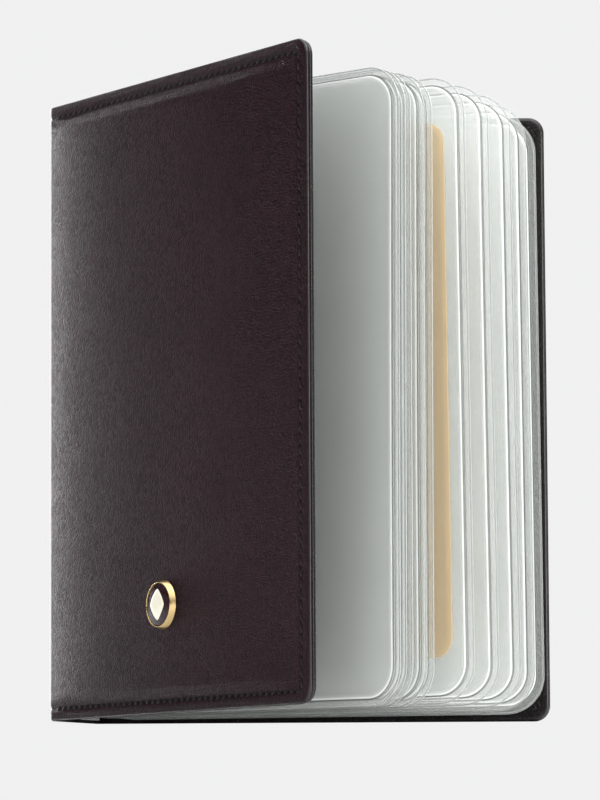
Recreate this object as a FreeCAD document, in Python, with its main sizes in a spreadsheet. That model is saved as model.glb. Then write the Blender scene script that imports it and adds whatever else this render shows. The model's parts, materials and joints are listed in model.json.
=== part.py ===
import FreeCAD, Part
import math
import os

import Sketcher
from FreeCAD import Placement, Rotation, Vector

# A small book-like leather case for business cards. It stands half open on the
# bottom edges of its covers, its spine upright along +Z. The origin is the middle
# of the bounding box's bottom. The back cover lies along +X with its outer face
# towards +Y; the spine and the front cover are swung open from it, and ten clear
# leaves fan out from the spine between them. Every piece is drawn lying flat: X
# across the piece, Y up the case, Z towards the inside of the case.

DIMENSIONS = (
    ("case_height", 102.0, "height of the covers and the spine"),
    ("cover_width", 75.5, "fold line to free edge of a cover"),
    ("spine_width", 14.0, "fold line to fold line across the spine"),
    ("rest_opening", 28.0, "degrees that each fold is open as modelled"),
    ("cover_corner", 2.6, "corner radius of the covers"),
    ("fold_gap", 0.15, "gap between a fold's roll and the cover beside it"),
    ("leather_thickness", 0.5, "outer leather"),
    ("board_thickness", 0.3, "stiffening board in the covers and the spine"),
    ("lining_thickness", 0.4, "inner lining"),
    ("hem_width", 2.4, "turned leather hem round the boards"),
    ("lining_inset", 0.15, "lining edge behind the leather edge"),
    ("fit_gap", 0.05, "side clearance of pieces laid in recesses"),
    ("panel_thickness", 0.3, "inner pocket panel"),
    ("panel_slot", 0.2, "space under the pocket panel for the insert tab"),
    ("panel_start", 6.0, "fold line to the pocket panel's open edge"),
    ("panel_inset", 0.4, "panel edge behind the leather edge"),
    ("panel_seam", 3.0, "sewn border of the pocket panel"),
    ("stitch_inset", 2.0, "stitch line to cover edge"),
    ("thread_width", 0.35, "width of the stitch line"),
    ("thread_thickness", 0.13, "thickness of the thread"),
    ("groove_depth", 0.15, "depth that the thread is sunk"),
    ("tab_thickness", 0.15, "insert tab"),
    ("tab_start", 3.0, "fold line to the tab's inner edge"),
    ("tab_end", 46.0, "fold line to the tab's outer edge"),
    ("tab_inset", 5.0, "tab edge below the cover edge"),
    ("binding_thickness", 0.4, "strip that the leaves are welded to"),
    ("binding_inset", 1.2, "fold line to the binding strip's edge"),
    ("leaf_length", 73.7, "leaf pivot to the leaf's free edge"),
    ("leaf_height", 100.2, "height of a leaf"),
    ("leaf_bottom", 0.5, "bottom of a leaf above the case's bottom"),
    ("leaf_half", 0.33, "half the thickness of a leaf"),
    ("leaf_corner", 6.4, "corner radius of a leaf"),
    ("leaf_pitch", 1.15, "spacing of the leaf pivots along the spine"),
    ("leaf_gap", 0.1, "gap between a leaf's bead and the binding strip"),
    ("film_thickness", 0.1, "one film of a leaf"),
    ("weld_width", 1.2, "welded border of a leaf"),
    ("mouth_start", 6.0, "leaf pivot to the pocket's mouth"),
    ("card_width", 54.0, "card across the leaf"),
    ("card_height", 85.6, "card up the leaf"),
    ("card_thickness", 0.36, "card"),
    ("card_corner", 3.2, "corner radius of the card"),
    ("card_margin", 2.8, "card edge to the leaf's outer weld"),
    ("emblem_across", 35.0, "fold line to the emblem's centre"),
    ("emblem_up", 17.15, "bottom edge to the emblem's centre"),
    ("bezel_radius", 4.05, "emblem bezel at its foot"),
    ("bezel_flare", 0.4, "how much narrower the bezel is at its rim"),
    ("bezel_height", 0.95, "bezel rim above the leather"),
    ("bezel_wall", 0.2, "bezel wall at its rim"),
    ("bezel_floor", 0.25, "bezel floor"),
    ("dome_edge", 0.75, "dome's edge above the leather"),
    ("dome_top", 1.2, "dome's top above the leather"),
    ("lozenge_across", 1.9, "half width of the inlaid lozenge"),
    ("lozenge_up", 2.45, "half height of the inlaid lozenge"),
    ("prong_radius", 0.4, "fixing prong"),
    ("prong_offset", 2.0, "emblem centre to a prong"),
    ("backplate_radius", 4.6, "plate behind the emblem"),
    ("backplate_thickness", 0.2, "plate behind the emblem"),
)

# How far each leaf, from the front cover to the back, turns away from the spine's
# straight-out direction as a share of what the covers turn: 1 stays with the front
# cover and -1 with the back cover.
LEAF_SHARES = (0.535, 0.515, 0.50, 0.43, 0.40, 0.135, -0.07, -0.315, -0.55, -0.86)
CARD_LEAF = 6

FRONT, BACK = -1, 1


class Size:
    """A length that keeps the spreadsheet expression it comes from."""

    def __init__(self, value, text=None):
        self.value = float(value)
        self.text = text or repr(float(value))

    def __add__(self, other):
        other = as_size(other)
        return Size(self.value + other.value, f"({self.text} + {other.text})")

    def __sub__(self, other):
        other = as_size(other)
        return Size(self.value - other.value, f"({self.text} - {other.text})")

    def __mul__(self, number):
        return Size(self.value * number, f"({self.text} * {number})")


def as_size(thing):
    return thing if isinstance(thing, Size) else Size(thing)


def make_sheet(document):
    """Put the driving dimensions in a spreadsheet and return them by name."""
    sheet = document.addObject("Spreadsheet::Sheet", "Dims")
    for row, (alias, value, note) in enumerate(DIMENSIONS, start=1):
        sheet.set(f"A{row}", note)
        sheet.set(f"B{row}", str(value))
        sheet.setAlias(f"B{row}", alias)
    document.recompute()
    return {alias: Size(sheet.get(alias), f"Dims.{alias}") for alias, _, _ in DIMENSIONS}


doc = FreeCAD.newDocument("card_case")
dim = make_sheet(doc)
nodes = []

half_cover = (dim["leather_thickness"] + dim["board_thickness"] + dim["lining_thickness"]) * 0.5
outer_face = half_cover * -1
board_level = outer_face + dim["leather_thickness"]
lining_level = board_level + dim["board_thickness"]
inner_face = half_cover
panel_height = dim["panel_slot"] + dim["panel_thickness"]


# ---- sketches and features ----

def new_body(label):
    return doc.addObject("PartDesign::Body", label)


def keep(piece, placement):
    """Place a finished sub-part and list it for export."""
    piece.Placement = placement
    nodes.append(piece)
    return piece


def origin_feature(body, role):
    return next(part for part in body.Origin.OriginFeatures if part.Role == role)


def new_sketch(body, name, level=0.0, plane="XY_Plane"):
    """An empty sketch on one of the body's own planes, raised to a level."""
    sketch = body.newObject("Sketcher::SketchObject", name)
    sketch.AttachmentSupport = [(origin_feature(body, plane), "")]
    sketch.MapMode = "FlatFace"
    sketch.setExpression("AttachmentOffset.Base.z", as_size(level).text)
    return sketch


def bind(sketch, constraint, size):
    """Add a constraint whose value follows the spreadsheet."""
    index = sketch.addConstraint(constraint)
    sketch.renameConstraint(index, f"size_{index}")
    sketch.setExpression(f"Constraints.size_{index}", size.text)


def fix_point(sketch, geometry, end, x=None, y=None):
    """Tie one end of a line or arc to its distance from the sketch's origin."""
    if x is not None:
        bind(sketch, Sketcher.Constraint("DistanceX", -1, 1, geometry, end, x.value), x)
    if y is not None:
        bind(sketch, Sketcher.Constraint("DistanceY", -1, 1, geometry, end, y.value), y)


def draw_outline(sketch, corners, radius=None):
    """Draw a closed outline of level and upright lines, or sloping ones between levels.

    Each corner is (x, y, rounded), counter-clockwise, and rounded corners get the
    radius.
    """
    points = [(as_size(x), as_size(y), rounded) for x, y, rounded in corners]
    count = len(points)
    place = [Vector(x.value, y.value, 0) for x, y, _ in points]
    toward = [(place[(i + 1) % count] - place[i]).normalize() for i in range(count)]
    lines = []
    for i in range(count):
        start, end = place[i], place[(i + 1) % count]
        if points[i][2]:
            start = start + toward[i] * radius.value
        if points[(i + 1) % count][2]:
            end = end - toward[i] * radius.value
        lines.append(sketch.addGeometry(Part.LineSegment(start, end)))
    for i in range(count):
        if abs(toward[i].x) < 1e-6:
            sketch.addConstraint(Sketcher.Constraint("Vertical", lines[i]))
            fix_point(sketch, lines[i], 1, x=points[i][0])
        elif abs(toward[i].y) < 1e-6:
            sketch.addConstraint(Sketcher.Constraint("Horizontal", lines[i]))
            fix_point(sketch, lines[i], 1, y=points[i][1])
        else:
            fix_point(sketch, lines[i], 1, x=points[i][0])
            fix_point(sketch, lines[i], 2, x=points[(i + 1) % count][0])
        if points[i][2]:
            round_corner(sketch, lines[i - 1], lines[i], place[i], toward[i - 1], toward[i], radius)
        else:
            sketch.addConstraint(Sketcher.Constraint("Coincident", lines[i - 1], 2, lines[i], 1))


def round_corner(sketch, before, after, corner, arriving, leaving, radius):
    """Join two lines of an outline by an arc, tangent to both."""
    centre = corner - arriving * radius.value + leaving * radius.value
    diagonal = (corner - centre).normalize()
    middle = centre + diagonal * radius.value
    arc = Part.Arc(corner - arriving * radius.value, middle, corner + leaving * radius.value)
    index = sketch.addGeometry(arc)
    turns_left = arriving.x * leaving.y - arriving.y * leaving.x > 0
    first, last = (1, 2) if turns_left else (2, 1)
    sketch.addConstraint(Sketcher.Constraint("Tangent", before, 2, index, first))
    sketch.addConstraint(Sketcher.Constraint("Tangent", index, last, after, 1))
    bind(sketch, Sketcher.Constraint("Radius", index, radius.value), radius)


def draw_circle(sketch, x, y, radius):
    x, y = as_size(x), as_size(y)
    circle = Part.Circle(Vector(x.value, y.value, 0), Vector(0, 0, 1), radius.value)
    index = sketch.addGeometry(circle)
    fix_point(sketch, index, 3, x=x, y=y)
    bind(sketch, Sketcher.Constraint("Radius", index, radius.value), radius)


def pad(body, sketch, length, backwards=False):
    feature = body.newObject("PartDesign::Pad", "pad")
    feature.Profile = sketch
    feature.Reversed = backwards
    feature.setExpression("Length", length.text)
    doc.recompute()
    return feature


def pocket(body, sketch, depth, forwards=False):
    """Cut a sketch into the body, and stop if it cut nothing."""
    before = body.Shape.Volume
    feature = body.newObject("PartDesign::Pocket", "pocket")
    feature.Profile = sketch
    feature.Reversed = forwards
    feature.setExpression("Length", depth.text)
    doc.recompute()
    if body.Shape.Volume > before - 1e-6:
        raise RuntimeError(f"a pocket of {body.Label} cuts nothing")
    return feature


def make_plate(label, corners, radius, level, thickness):
    """A flat sheet with the given outline, from a level up to level + thickness."""
    body = new_body(label)
    sketch = new_sketch(body, "outline", level)
    draw_outline(sketch, corners, radius)
    pad(body, sketch, thickness)
    return body


def rectangle(side, near, far, bottom, top, rounded=False):
    """Corners of a rectangle from near to far of the fold, on either side of it.

    On the front the far edge points along -X. Only the far corners are rounded.
    """
    near, far = as_size(near) * side, as_size(far) * side
    if side == BACK:
        return ((near, bottom, False), (far, bottom, rounded), (far, top, rounded), (near, top, False))
    return ((far, bottom, rounded), (near, bottom, False), (near, top, False), (far, top, rounded))


def thread_band(side, near):
    """Corners of the U that a line of stitches follows round a cover's free edges."""
    far, low, high = dim["cover_width"], as_size(0), dim["case_height"]
    out = dim["stitch_inset"] - dim["thread_width"] * 0.5
    back = dim["stitch_inset"] + dim["thread_width"] * 0.5
    near = as_size(near)
    band = [
        (near, low + out), (far - out, low + out), (far - out, high - out), (near, high - out),
        (near, high - back), (far - back, high - back), (far - back, low + back), (near, low + back),
    ]
    if side == FRONT:
        band = [(x * FRONT, y) for x, y in reversed(band)]
    return [(x, y, False) for x, y in band]


# ---- places ----

def turn_upright(angle, x=0.0, y=0.0):
    """Stand a flat piece up, turn it about Z and move it to a fold or pivot."""
    stand = Placement(Vector(0, 0, 0), Rotation(Vector(1, 0, 0), 90))
    return Placement(Vector(x, y, 0), Rotation(Vector(0, 0, 1), angle)).multiply(stand)


opening = dim["rest_opening"].value
along_spine = Vector(math.sin(math.radians(opening)), math.cos(math.radians(opening)), 0)
away_from_spine = Vector(along_spine.y, -along_spine.x, 0)
front_direction = Vector(math.cos(math.radians(2 * opening)), -math.sin(math.radians(2 * opening)), 0)
front_outward = Vector(front_direction.y, -front_direction.x, 0)

# The bounding box runs from the front fold's roll to the back cover's free edge,
# and from the front cover's free outer corner to the back cover's outer face.
front_fold = Vector(0, 0, 0)
back_fold = along_spine * dim["spine_width"].value
front_corner = front_direction * dim["cover_width"].value + front_outward * half_cover.value
middle_x = (back_fold.x + dim["cover_width"].value - half_cover.value) / 2
middle_y = (back_fold.y + half_cover.value + front_corner.y) / 2
front_fold = front_fold - Vector(middle_x, middle_y, 0)
back_fold = back_fold - Vector(middle_x, middle_y, 0)

BACK_PLACE = turn_upright(0, back_fold.x, back_fold.y)
SPINE_PLACE = turn_upright(90 - opening, front_fold.x, front_fold.y)
FRONT_PLACE = turn_upright(180 - 2 * opening, front_fold.x, front_fold.y)
COVER_PLACES = {FRONT: FRONT_PLACE, BACK: BACK_PLACE}
COVER_NAMES = {FRONT: "front", BACK: "back"}


def leaf_place(number):
    """Where a leaf stands, counted from the front cover, and how it is turned."""
    middle = (len(LEAF_SHARES) + 1) / 2
    across = dim["spine_width"].value / 2 + (number - middle) * dim["leaf_pitch"].value
    height = inner_face + dim["binding_thickness"] + dim["leaf_gap"] + dim["leaf_half"]
    pivot = front_fold + along_spine * across + away_from_spine * height.value
    angle = -opening * (1 + LEAF_SHARES[number - 1])
    place = turn_upright(angle, pivot.x, pivot.y)
    place.Base.z = dim["leaf_bottom"].value
    return place


# ---- covers ----

def drill_for_prongs(body, level, depth, forwards=False):
    sketch = new_sketch(body, "prong_holes", level)
    for offset in (dim["prong_offset"] * -1, dim["prong_offset"]):
        draw_circle(sketch, dim["emblem_across"] * -1 + offset, dim["emblem_up"],
                    dim["prong_radius"] + dim["fit_gap"])
    pocket(body, sketch, depth, forwards)


def make_cover_leather(side):
    """Outer leather with its hem turned round the board, and the sunk stitch line."""
    name = COVER_NAMES[side]
    near = half_cover + dim["fold_gap"]
    outline = rectangle(side, near, dim["cover_width"], 0, dim["case_height"], rounded=True)
    thickness = dim["leather_thickness"] + dim["board_thickness"]
    body = make_plate(f"{name}_cover_leather", outline, dim["cover_corner"], outer_face, thickness)
    recess = new_sketch(body, "board_recess", lining_level)
    hem = dim["hem_width"]
    draw_outline(recess, rectangle(side, near + hem, dim["cover_width"] - hem, hem,
                                   dim["case_height"] - hem))
    pocket(body, recess, dim["board_thickness"])
    groove = new_sketch(body, "stitch_groove", outer_face)
    draw_outline(groove, thread_band(side, near - 1))
    pocket(body, groove, dim["groove_depth"], forwards=True)
    if side == FRONT:
        drill_for_prongs(body, outer_face, dim["leather_thickness"], forwards=True)
    keep(body, COVER_PLACES[side])


def make_cover_board(side):
    hem = dim["hem_width"] + dim["fit_gap"]
    near = half_cover + dim["fold_gap"] + hem
    outline = rectangle(side, near, dim["cover_width"] - hem, hem, dim["case_height"] - hem)
    body = make_plate(f"{COVER_NAMES[side]}_board", outline, None, board_level, dim["board_thickness"])
    if side == FRONT:
        drill_for_prongs(body, board_level, dim["board_thickness"], forwards=True)
    keep(body, COVER_PLACES[side])


def make_cover_lining(side):
    """Lining glued over the board; the front one is hollowed for the emblem's plate."""
    inset = dim["lining_inset"]
    near = half_cover + dim["fold_gap"]
    outline = rectangle(side, near, dim["cover_width"] - inset, inset,
                        dim["case_height"] - inset, rounded=True)
    body = make_plate(f"{COVER_NAMES[side]}_lining", outline, dim["cover_corner"],
                      lining_level, dim["lining_thickness"])
    if side == FRONT:
        recess = new_sketch(body, "backplate_recess", lining_level)
        draw_circle(recess, dim["emblem_across"] * -1, dim["emblem_up"],
                    dim["backplate_radius"] + dim["fit_gap"])
        pocket(body, recess, dim["backplate_thickness"], forwards=True)
    keep(body, COVER_PLACES[side])


def make_inner_pocket(side):
    """Panel sewn on inside the cover, open towards the spine, with a slot below it."""
    inset = dim["panel_inset"]
    seam = inset + dim["panel_seam"]
    outline = rectangle(side, dim["panel_start"], dim["cover_width"] - inset, inset,
                        dim["case_height"] - inset, rounded=True)
    body = make_plate(f"{COVER_NAMES[side]}_inner_pocket", outline, dim["cover_corner"],
                      inner_face, panel_height)
    slot = new_sketch(body, "tab_slot", inner_face)
    draw_outline(slot, rectangle(side, dim["panel_start"] - 1, dim["cover_width"] - seam, seam,
                                 dim["case_height"] - seam))
    pocket(body, slot, dim["panel_slot"], forwards=True)
    groove = new_sketch(body, "stitch_groove", inner_face + panel_height)
    draw_outline(groove, thread_band(side, dim["panel_start"] - 1))
    pocket(body, groove, dim["groove_depth"])
    keep(body, COVER_PLACES[side])


def make_stitching(side):
    """The thread on the outer leather and on the inner panel, as two solids."""
    name = COVER_NAMES[side]
    outside = make_plate(f"{name}_outer_thread", thread_band(side, half_cover + dim["fold_gap"]),
                         None, outer_face + dim["groove_depth"] - dim["thread_thickness"],
                         dim["thread_thickness"])
    inside = make_plate(f"{name}_inner_thread", thread_band(side, dim["panel_start"]),
                        None, inner_face + panel_height - dim["groove_depth"],
                        dim["thread_thickness"])
    thread = doc.addObject("Part::Compound", f"{name}_stitching")
    thread.Links = [outside, inside]
    keep(thread, COVER_PLACES[side])


def make_insert_tab(side):
    """Flap of the leaf insert that is tucked under the inner pocket."""
    outline = rectangle(side, dim["tab_start"], dim["tab_end"], dim["tab_inset"],
                        dim["case_height"] - dim["tab_inset"])
    body = make_plate(f"{COVER_NAMES[side]}_insert_tab", outline, None, inner_face,
                      dim["tab_thickness"])
    keep(body, COVER_PLACES[side])


# ---- spine ----

def make_spine_leather():
    """Leather across the spine, with a roll along each fold."""
    width, height, hem = dim["spine_width"], dim["case_height"], dim["hem_width"]
    body = make_plate("spine_leather", rectangle(BACK, 0, width, 0, height), None, outer_face,
                      dim["leather_thickness"] + dim["board_thickness"])
    recess = new_sketch(body, "board_recess", lining_level)
    draw_outline(recess, rectangle(BACK, hem, width - hem, hem, height - hem))
    pocket(body, recess, dim["board_thickness"])
    rolls = new_sketch(body, "fold_rolls", plane="XZ_Plane")
    draw_circle(rolls, 0, 0, half_cover)
    draw_circle(rolls, width, 0, half_cover)
    pad(body, rolls, height, backwards=True)
    keep(body, SPINE_PLACE)


def make_spine_layers():
    """Board and lining of the spine, and the strip that the leaves are welded to."""
    width, height = dim["spine_width"], dim["case_height"]
    hem = dim["hem_width"] + dim["fit_gap"]
    board = make_plate("spine_board", rectangle(BACK, hem, width - hem, hem, height - hem),
                       None, board_level, dim["board_thickness"])
    edge, inset = half_cover + dim["fit_gap"], dim["lining_inset"]
    lining = make_plate("spine_lining", rectangle(BACK, edge, width - edge, inset, height - inset),
                        None, lining_level, dim["lining_thickness"])
    side, low = dim["binding_inset"], dim["leaf_bottom"]
    binding = make_plate("insert_binding",
                         rectangle(BACK, side, width - side, low, low + dim["leaf_height"]),
                         None, inner_face, dim["binding_thickness"])
    for body in (board, lining, binding):
        keep(body, SPINE_PLACE)


# ---- leaves and card ----

def make_leaf(number):
    """Two clear films with a welded border between them on three sides.

    The pocket's mouth is towards the spine. The back film runs on to the bead at the
    leaf's pivot, and the front film and the border stop at the mouth.
    """
    length, height, mouth = dim["leaf_length"], dim["leaf_height"], dim["mouth_start"]
    corner, weld, film = dim["leaf_corner"], dim["weld_width"], dim["film_thickness"]
    half = dim["leaf_half"]
    hollow = half - film
    name = f"leaf_{number:02d}"
    back = make_plate(f"{name}_back_film", rectangle(BACK, 0, length, 0, height, True),
                      corner, half * -1, film)
    bead = new_sketch(back, "bead", plane="XZ_Plane")
    draw_circle(bead, 0, 0, half)
    pad(back, bead, height, backwards=True)

    outline = rectangle(BACK, mouth, length, 0, height, True)
    front = make_plate(f"{name}_front_film", outline, corner, hollow, film)

    border = make_plate(f"{name}_weld", outline, corner, hollow * -1, hollow * 2)
    inside = new_sketch(border, "inside", hollow)
    draw_outline(inside, rectangle(BACK, mouth - 1, length - weld, weld, height - weld, True),
                 corner - weld)
    pocket(border, inside, hollow * 2)
    for piece in (back, front, border):
        keep(piece, leaf_place(number))


def make_card():
    """The card in its leaf, half way up the pocket."""
    far = dim["leaf_length"] - dim["weld_width"] - dim["card_margin"]
    near = far - dim["card_width"]
    low = (dim["leaf_height"] - dim["card_height"]) * 0.5
    high = low + dim["card_height"]
    corners = ((near, low, True), (far, low, True), (far, high, True), (near, high, True))
    card = make_plate("business_card", corners, dim["card_corner"],
                      dim["card_thickness"] * -0.5, dim["card_thickness"])
    keep(card, leaf_place(CARD_LEAF))


# ---- emblem ----

def emblem_place():
    """The emblem's own frame: its axis points outwards from the front leather."""
    centre = Vector(-dim["emblem_across"].value, dim["emblem_up"].value, outer_face.value)
    return FRONT_PLACE.multiply(Placement(centre, Rotation(Vector(1, 0, 0), 180)))


def revolve(body, sketch):
    feature = body.newObject("PartDesign::Revolution", "turned")
    feature.Profile = sketch
    feature.ReferenceAxis = (sketch, ["V_Axis"])
    feature.Angle = 360.0
    doc.recompute()
    return feature


def make_bezel():
    foot, height, floor = dim["bezel_radius"], dim["bezel_height"], dim["bezel_floor"]
    rim = foot - dim["bezel_flare"]
    bore = rim - dim["bezel_wall"]
    body = new_body("emblem_bezel")
    sketch = new_sketch(body, "section", plane="XZ_Plane")
    draw_outline(sketch, ((0, 0, False), (foot, 0, False), (rim, height, False),
                          (bore, height, False), (bore, floor, False), (0, floor, False)))
    revolve(body, sketch)
    keep(body, emblem_place())


def make_dome():
    """The domed disc, before the lozenge is let into it."""
    radius = dim["bezel_radius"] - dim["bezel_flare"] - dim["bezel_wall"] - dim["fit_gap"]
    floor, edge, top = dim["bezel_floor"], dim["dome_edge"], dim["dome_top"]
    rise = top.value - edge.value
    arc_radius = (radius.value ** 2 + rise ** 2) / (2 * rise)
    centre = Vector(0, top.value - arc_radius, 0)
    start, end = Vector(radius.value, edge.value, 0), Vector(0, top.value, 0)
    spread = math.asin(radius.value / arc_radius) / 2
    middle = centre + Vector(math.sin(spread), math.cos(spread), 0) * arc_radius
    body = new_body("dome_blank")
    sketch = new_sketch(body, "section", plane="XZ_Plane")
    base = sketch.addGeometry(Part.LineSegment(Vector(0, floor.value, 0),
                                               Vector(radius.value, floor.value, 0)))
    wall = sketch.addGeometry(Part.LineSegment(Vector(radius.value, floor.value, 0), start))
    crown = sketch.addGeometry(Part.Arc(start, middle, end))
    axis = sketch.addGeometry(Part.LineSegment(end, Vector(0, floor.value, 0)))
    sketch.addConstraint([
        Sketcher.Constraint("Horizontal", base),
        Sketcher.Constraint("Vertical", wall),
        Sketcher.Constraint("Coincident", base, 2, wall, 1),
        Sketcher.Constraint("Coincident", wall, 2, crown, 1),
        Sketcher.Constraint("Coincident", crown, 2, axis, 1),
        Sketcher.Constraint("Coincident", axis, 2, base, 1),
        Sketcher.Constraint("PointOnObject", base, 1, -2),
        Sketcher.Constraint("PointOnObject", crown, 2, -2),
        Sketcher.Constraint("PointOnObject", crown, 3, -2),
    ])
    fix_point(sketch, base, 1, y=floor)
    fix_point(sketch, base, 2, x=radius)
    fix_point(sketch, crown, 1, y=edge)
    fix_point(sketch, crown, 2, y=top)
    revolve(body, sketch)
    return body


def make_lozenge():
    """A plain upright lozenge, the emblem's only figure."""
    across, up = dim["lozenge_across"], dim["lozenge_up"]
    body = new_body("lozenge_blank")
    sketch = new_sketch(body, "lozenge", dim["bezel_floor"])
    tips = [Vector(across.value, 0, 0), Vector(0, up.value, 0),
            Vector(-across.value, 0, 0), Vector(0, -up.value, 0)]
    lines = [sketch.addGeometry(Part.LineSegment(tips[i], tips[(i + 1) % 4])) for i in range(4)]
    for i in range(4):
        sketch.addConstraint(Sketcher.Constraint("Coincident", lines[i - 1], 2, lines[i], 1))
        sketch.addConstraint(Sketcher.Constraint("PointOnObject", lines[i], 1, -1 if i % 2 == 0 else -2))
    fix_point(sketch, lines[0], 1, x=across)
    fix_point(sketch, lines[1], 1, y=up)
    fix_point(sketch, lines[2], 1, x=across * -1)
    fix_point(sketch, lines[3], 1, y=up * -1)
    pad(body, sketch, dim["dome_top"])
    return body


def make_emblem_face():
    """The dark dome and the pale lozenge that fills the opening in it."""
    dome, lozenge = make_dome(), make_lozenge()
    disc = doc.addObject("Part::Cut", "emblem_disc")
    disc.Base, disc.Tool = dome, lozenge
    inlay = doc.addObject("Part::Common", "emblem_inlay")
    inlay.Base, inlay.Tool = dome, lozenge
    keep(disc, emblem_place())
    keep(inlay, emblem_place())


def make_emblem_fixing():
    """Two prongs through the leather and the board, and the plate behind them."""
    pins = []
    for name, offset in (("left_prong", dim["prong_offset"] * -1), ("right_prong", dim["prong_offset"])):
        pin = doc.addObject("Part::Cylinder", name)
        pin.setExpression("Radius", dim["prong_radius"].text)
        pin.setExpression("Height", (dim["leather_thickness"] + dim["board_thickness"]).text)
        pin.setExpression("Placement.Base.x", offset.text)
        pin.setExpression("Placement.Base.z", ((lining_level - outer_face) * -1).text)
        pins.append(pin)
    prongs = doc.addObject("Part::Compound", "emblem_prongs")
    prongs.Links = pins
    keep(prongs, emblem_place())

    plate = doc.addObject("Part::Cylinder", "emblem_backplate")
    plate.setExpression("Radius", dim["backplate_radius"].text)
    plate.setExpression("Height", dim["backplate_thickness"].text)
    centre = Vector(-dim["emblem_across"].value, dim["emblem_up"].value, lining_level.value)
    keep(plate, FRONT_PLACE.multiply(Placement(centre, Rotation())))


def build():
    for side in (FRONT, BACK):
        make_cover_leather(side)
        make_cover_board(side)
        make_cover_lining(side)
        make_inner_pocket(side)
        make_stitching(side)
        make_insert_tab(side)
    make_spine_leather()
    make_spine_layers()
    for number in range(1, len(LEAF_SHARES) + 1):
        make_leaf(number)
    make_card()
    make_bezel()
    make_emblem_face()
    make_emblem_fixing()
    doc.recompute()


def check():
    """Stop before anything is written if an object failed or a shape is unsound."""
    for item in doc.Objects:
        if any(word in state for state in item.State for word in ("Invalid", "Error")):
            raise RuntimeError(f"{item.Label} is {item.State}")
    for piece in nodes:
        if piece.Shape.isNull() or not piece.Shape.isValid() or not piece.Shape.Solids:
            raise RuntimeError(f"{piece.Label} has no sound shape")


def export():
    os.makedirs("parts", exist_ok=True)
    for piece in nodes:
        piece.Shape.exportStep(f"parts/{piece.Label}.step")
        print(f"{piece.Label}: {len(piece.Shape.Solids)} solids, {piece.Shape.Volume:.2f} mm3")


build()
check()
export()
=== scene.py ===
"""Business card case: leather covers, clear vinyl leaves, a card and an emblem.

The case stands upright, half open like a book. Every piece is built in metres in the
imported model's frame: places come from its joints and node boxes.
"""
import json
import math
import random

import bmesh
import bpy
from mathutils import Matrix, Vector


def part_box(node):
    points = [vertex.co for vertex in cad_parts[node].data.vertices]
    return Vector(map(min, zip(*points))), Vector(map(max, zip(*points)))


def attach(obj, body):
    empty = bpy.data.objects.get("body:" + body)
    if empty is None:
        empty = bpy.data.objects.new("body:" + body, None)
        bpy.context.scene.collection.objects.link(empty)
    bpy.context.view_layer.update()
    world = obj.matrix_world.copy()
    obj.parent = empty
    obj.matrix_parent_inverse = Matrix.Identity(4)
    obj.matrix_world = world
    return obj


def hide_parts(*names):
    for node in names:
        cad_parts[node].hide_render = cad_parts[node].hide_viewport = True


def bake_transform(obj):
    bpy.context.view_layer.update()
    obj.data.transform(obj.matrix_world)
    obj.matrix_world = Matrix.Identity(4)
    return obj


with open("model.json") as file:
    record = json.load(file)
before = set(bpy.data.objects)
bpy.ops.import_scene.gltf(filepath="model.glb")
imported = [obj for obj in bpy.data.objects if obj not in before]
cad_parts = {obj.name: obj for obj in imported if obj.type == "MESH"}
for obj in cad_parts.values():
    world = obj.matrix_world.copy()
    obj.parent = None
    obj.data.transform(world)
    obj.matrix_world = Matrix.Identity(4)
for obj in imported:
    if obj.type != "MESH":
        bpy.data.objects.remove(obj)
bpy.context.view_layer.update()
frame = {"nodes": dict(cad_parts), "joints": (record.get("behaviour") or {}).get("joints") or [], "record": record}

MM = 0.001
joints = {joint["name"]: joint for joint in frame["joints"]}
shares = {c["joint"]: c["ratio"] for c in frame["record"]["behaviour"]["couplings"]}


# ---- places, all from the frame ----

def level_vector(angle):
    """Unit vector in the floor plane, at an angle in radians from +X."""
    return Vector((math.cos(angle), math.sin(angle), 0))


def span(node, axis):
    """Lowest and highest value of a CAD node along an axis (0, 1 or 2)."""
    low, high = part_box(node)
    return low[axis], high[axis]


BACK_FOLD = Vector(joints["spine_fold"]["pos_m"])
FRONT_FOLD = Vector(joints["front_fold"]["pos_m"])
OPENING = -math.radians(joints["spine_fold"]["range_deg"][0])
SPINE_WIDTH = (BACK_FOLD - FRONT_FOLD).length
SPINE_ANGLE = math.atan2(BACK_FOLD.y - FRONT_FOLD.y, BACK_FOLD.x - FRONT_FOLD.x)
STRAIGHT_OUT = SPINE_ANGLE - math.pi / 2
BACK_ANGLE = STRAIGHT_OUT + OPENING
FRONT_ANGLE = STRAIGHT_OUT - OPENING

HEIGHT = span("back_cover_leather", 2)[1]
COVER_WIDTH = span("back_cover_leather", 0)[1] - BACK_FOLD.x
OUTER = span("back_cover_leather", 1)[1] - BACK_FOLD.y
HEM_LEVEL = span("back_cover_leather", 1)[0] - BACK_FOLD.y
BOARD_LEVEL = span("back_board", 1)[1] - BACK_FOLD.y
LINING_LEVEL = span("back_lining", 1)[0] - BACK_FOLD.y
PANEL_LEVEL = span("back_inner_pocket", 1)[0] - BACK_FOLD.y
PANEL_START = span("back_inner_pocket", 0)[0] - BACK_FOLD.x
COVER_START = span("back_cover_leather", 0)[0] - BACK_FOLD.x
LEAF_LOW, LEAF_HIGH = span("leaf_01_weld", 2)
CARD_LOW, CARD_HIGH = span("business_card", 2)
LEAF_LENGTH = 73.7 * MM
CARD_WIDTH = 54.0 * MM
CARD_INSET = 4.0 * MM
CARD_EDGE = LEAF_LENGTH - CARD_INSET
EMBLEM_LOW, EMBLEM_HIGH = span("emblem_bezel", 2)
DISC_LOW, DISC_HIGH = span("emblem_disc", 2)
STITCH_INSET = 2.0 * MM
STITCH_PITCH = 1.7 * MM


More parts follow.
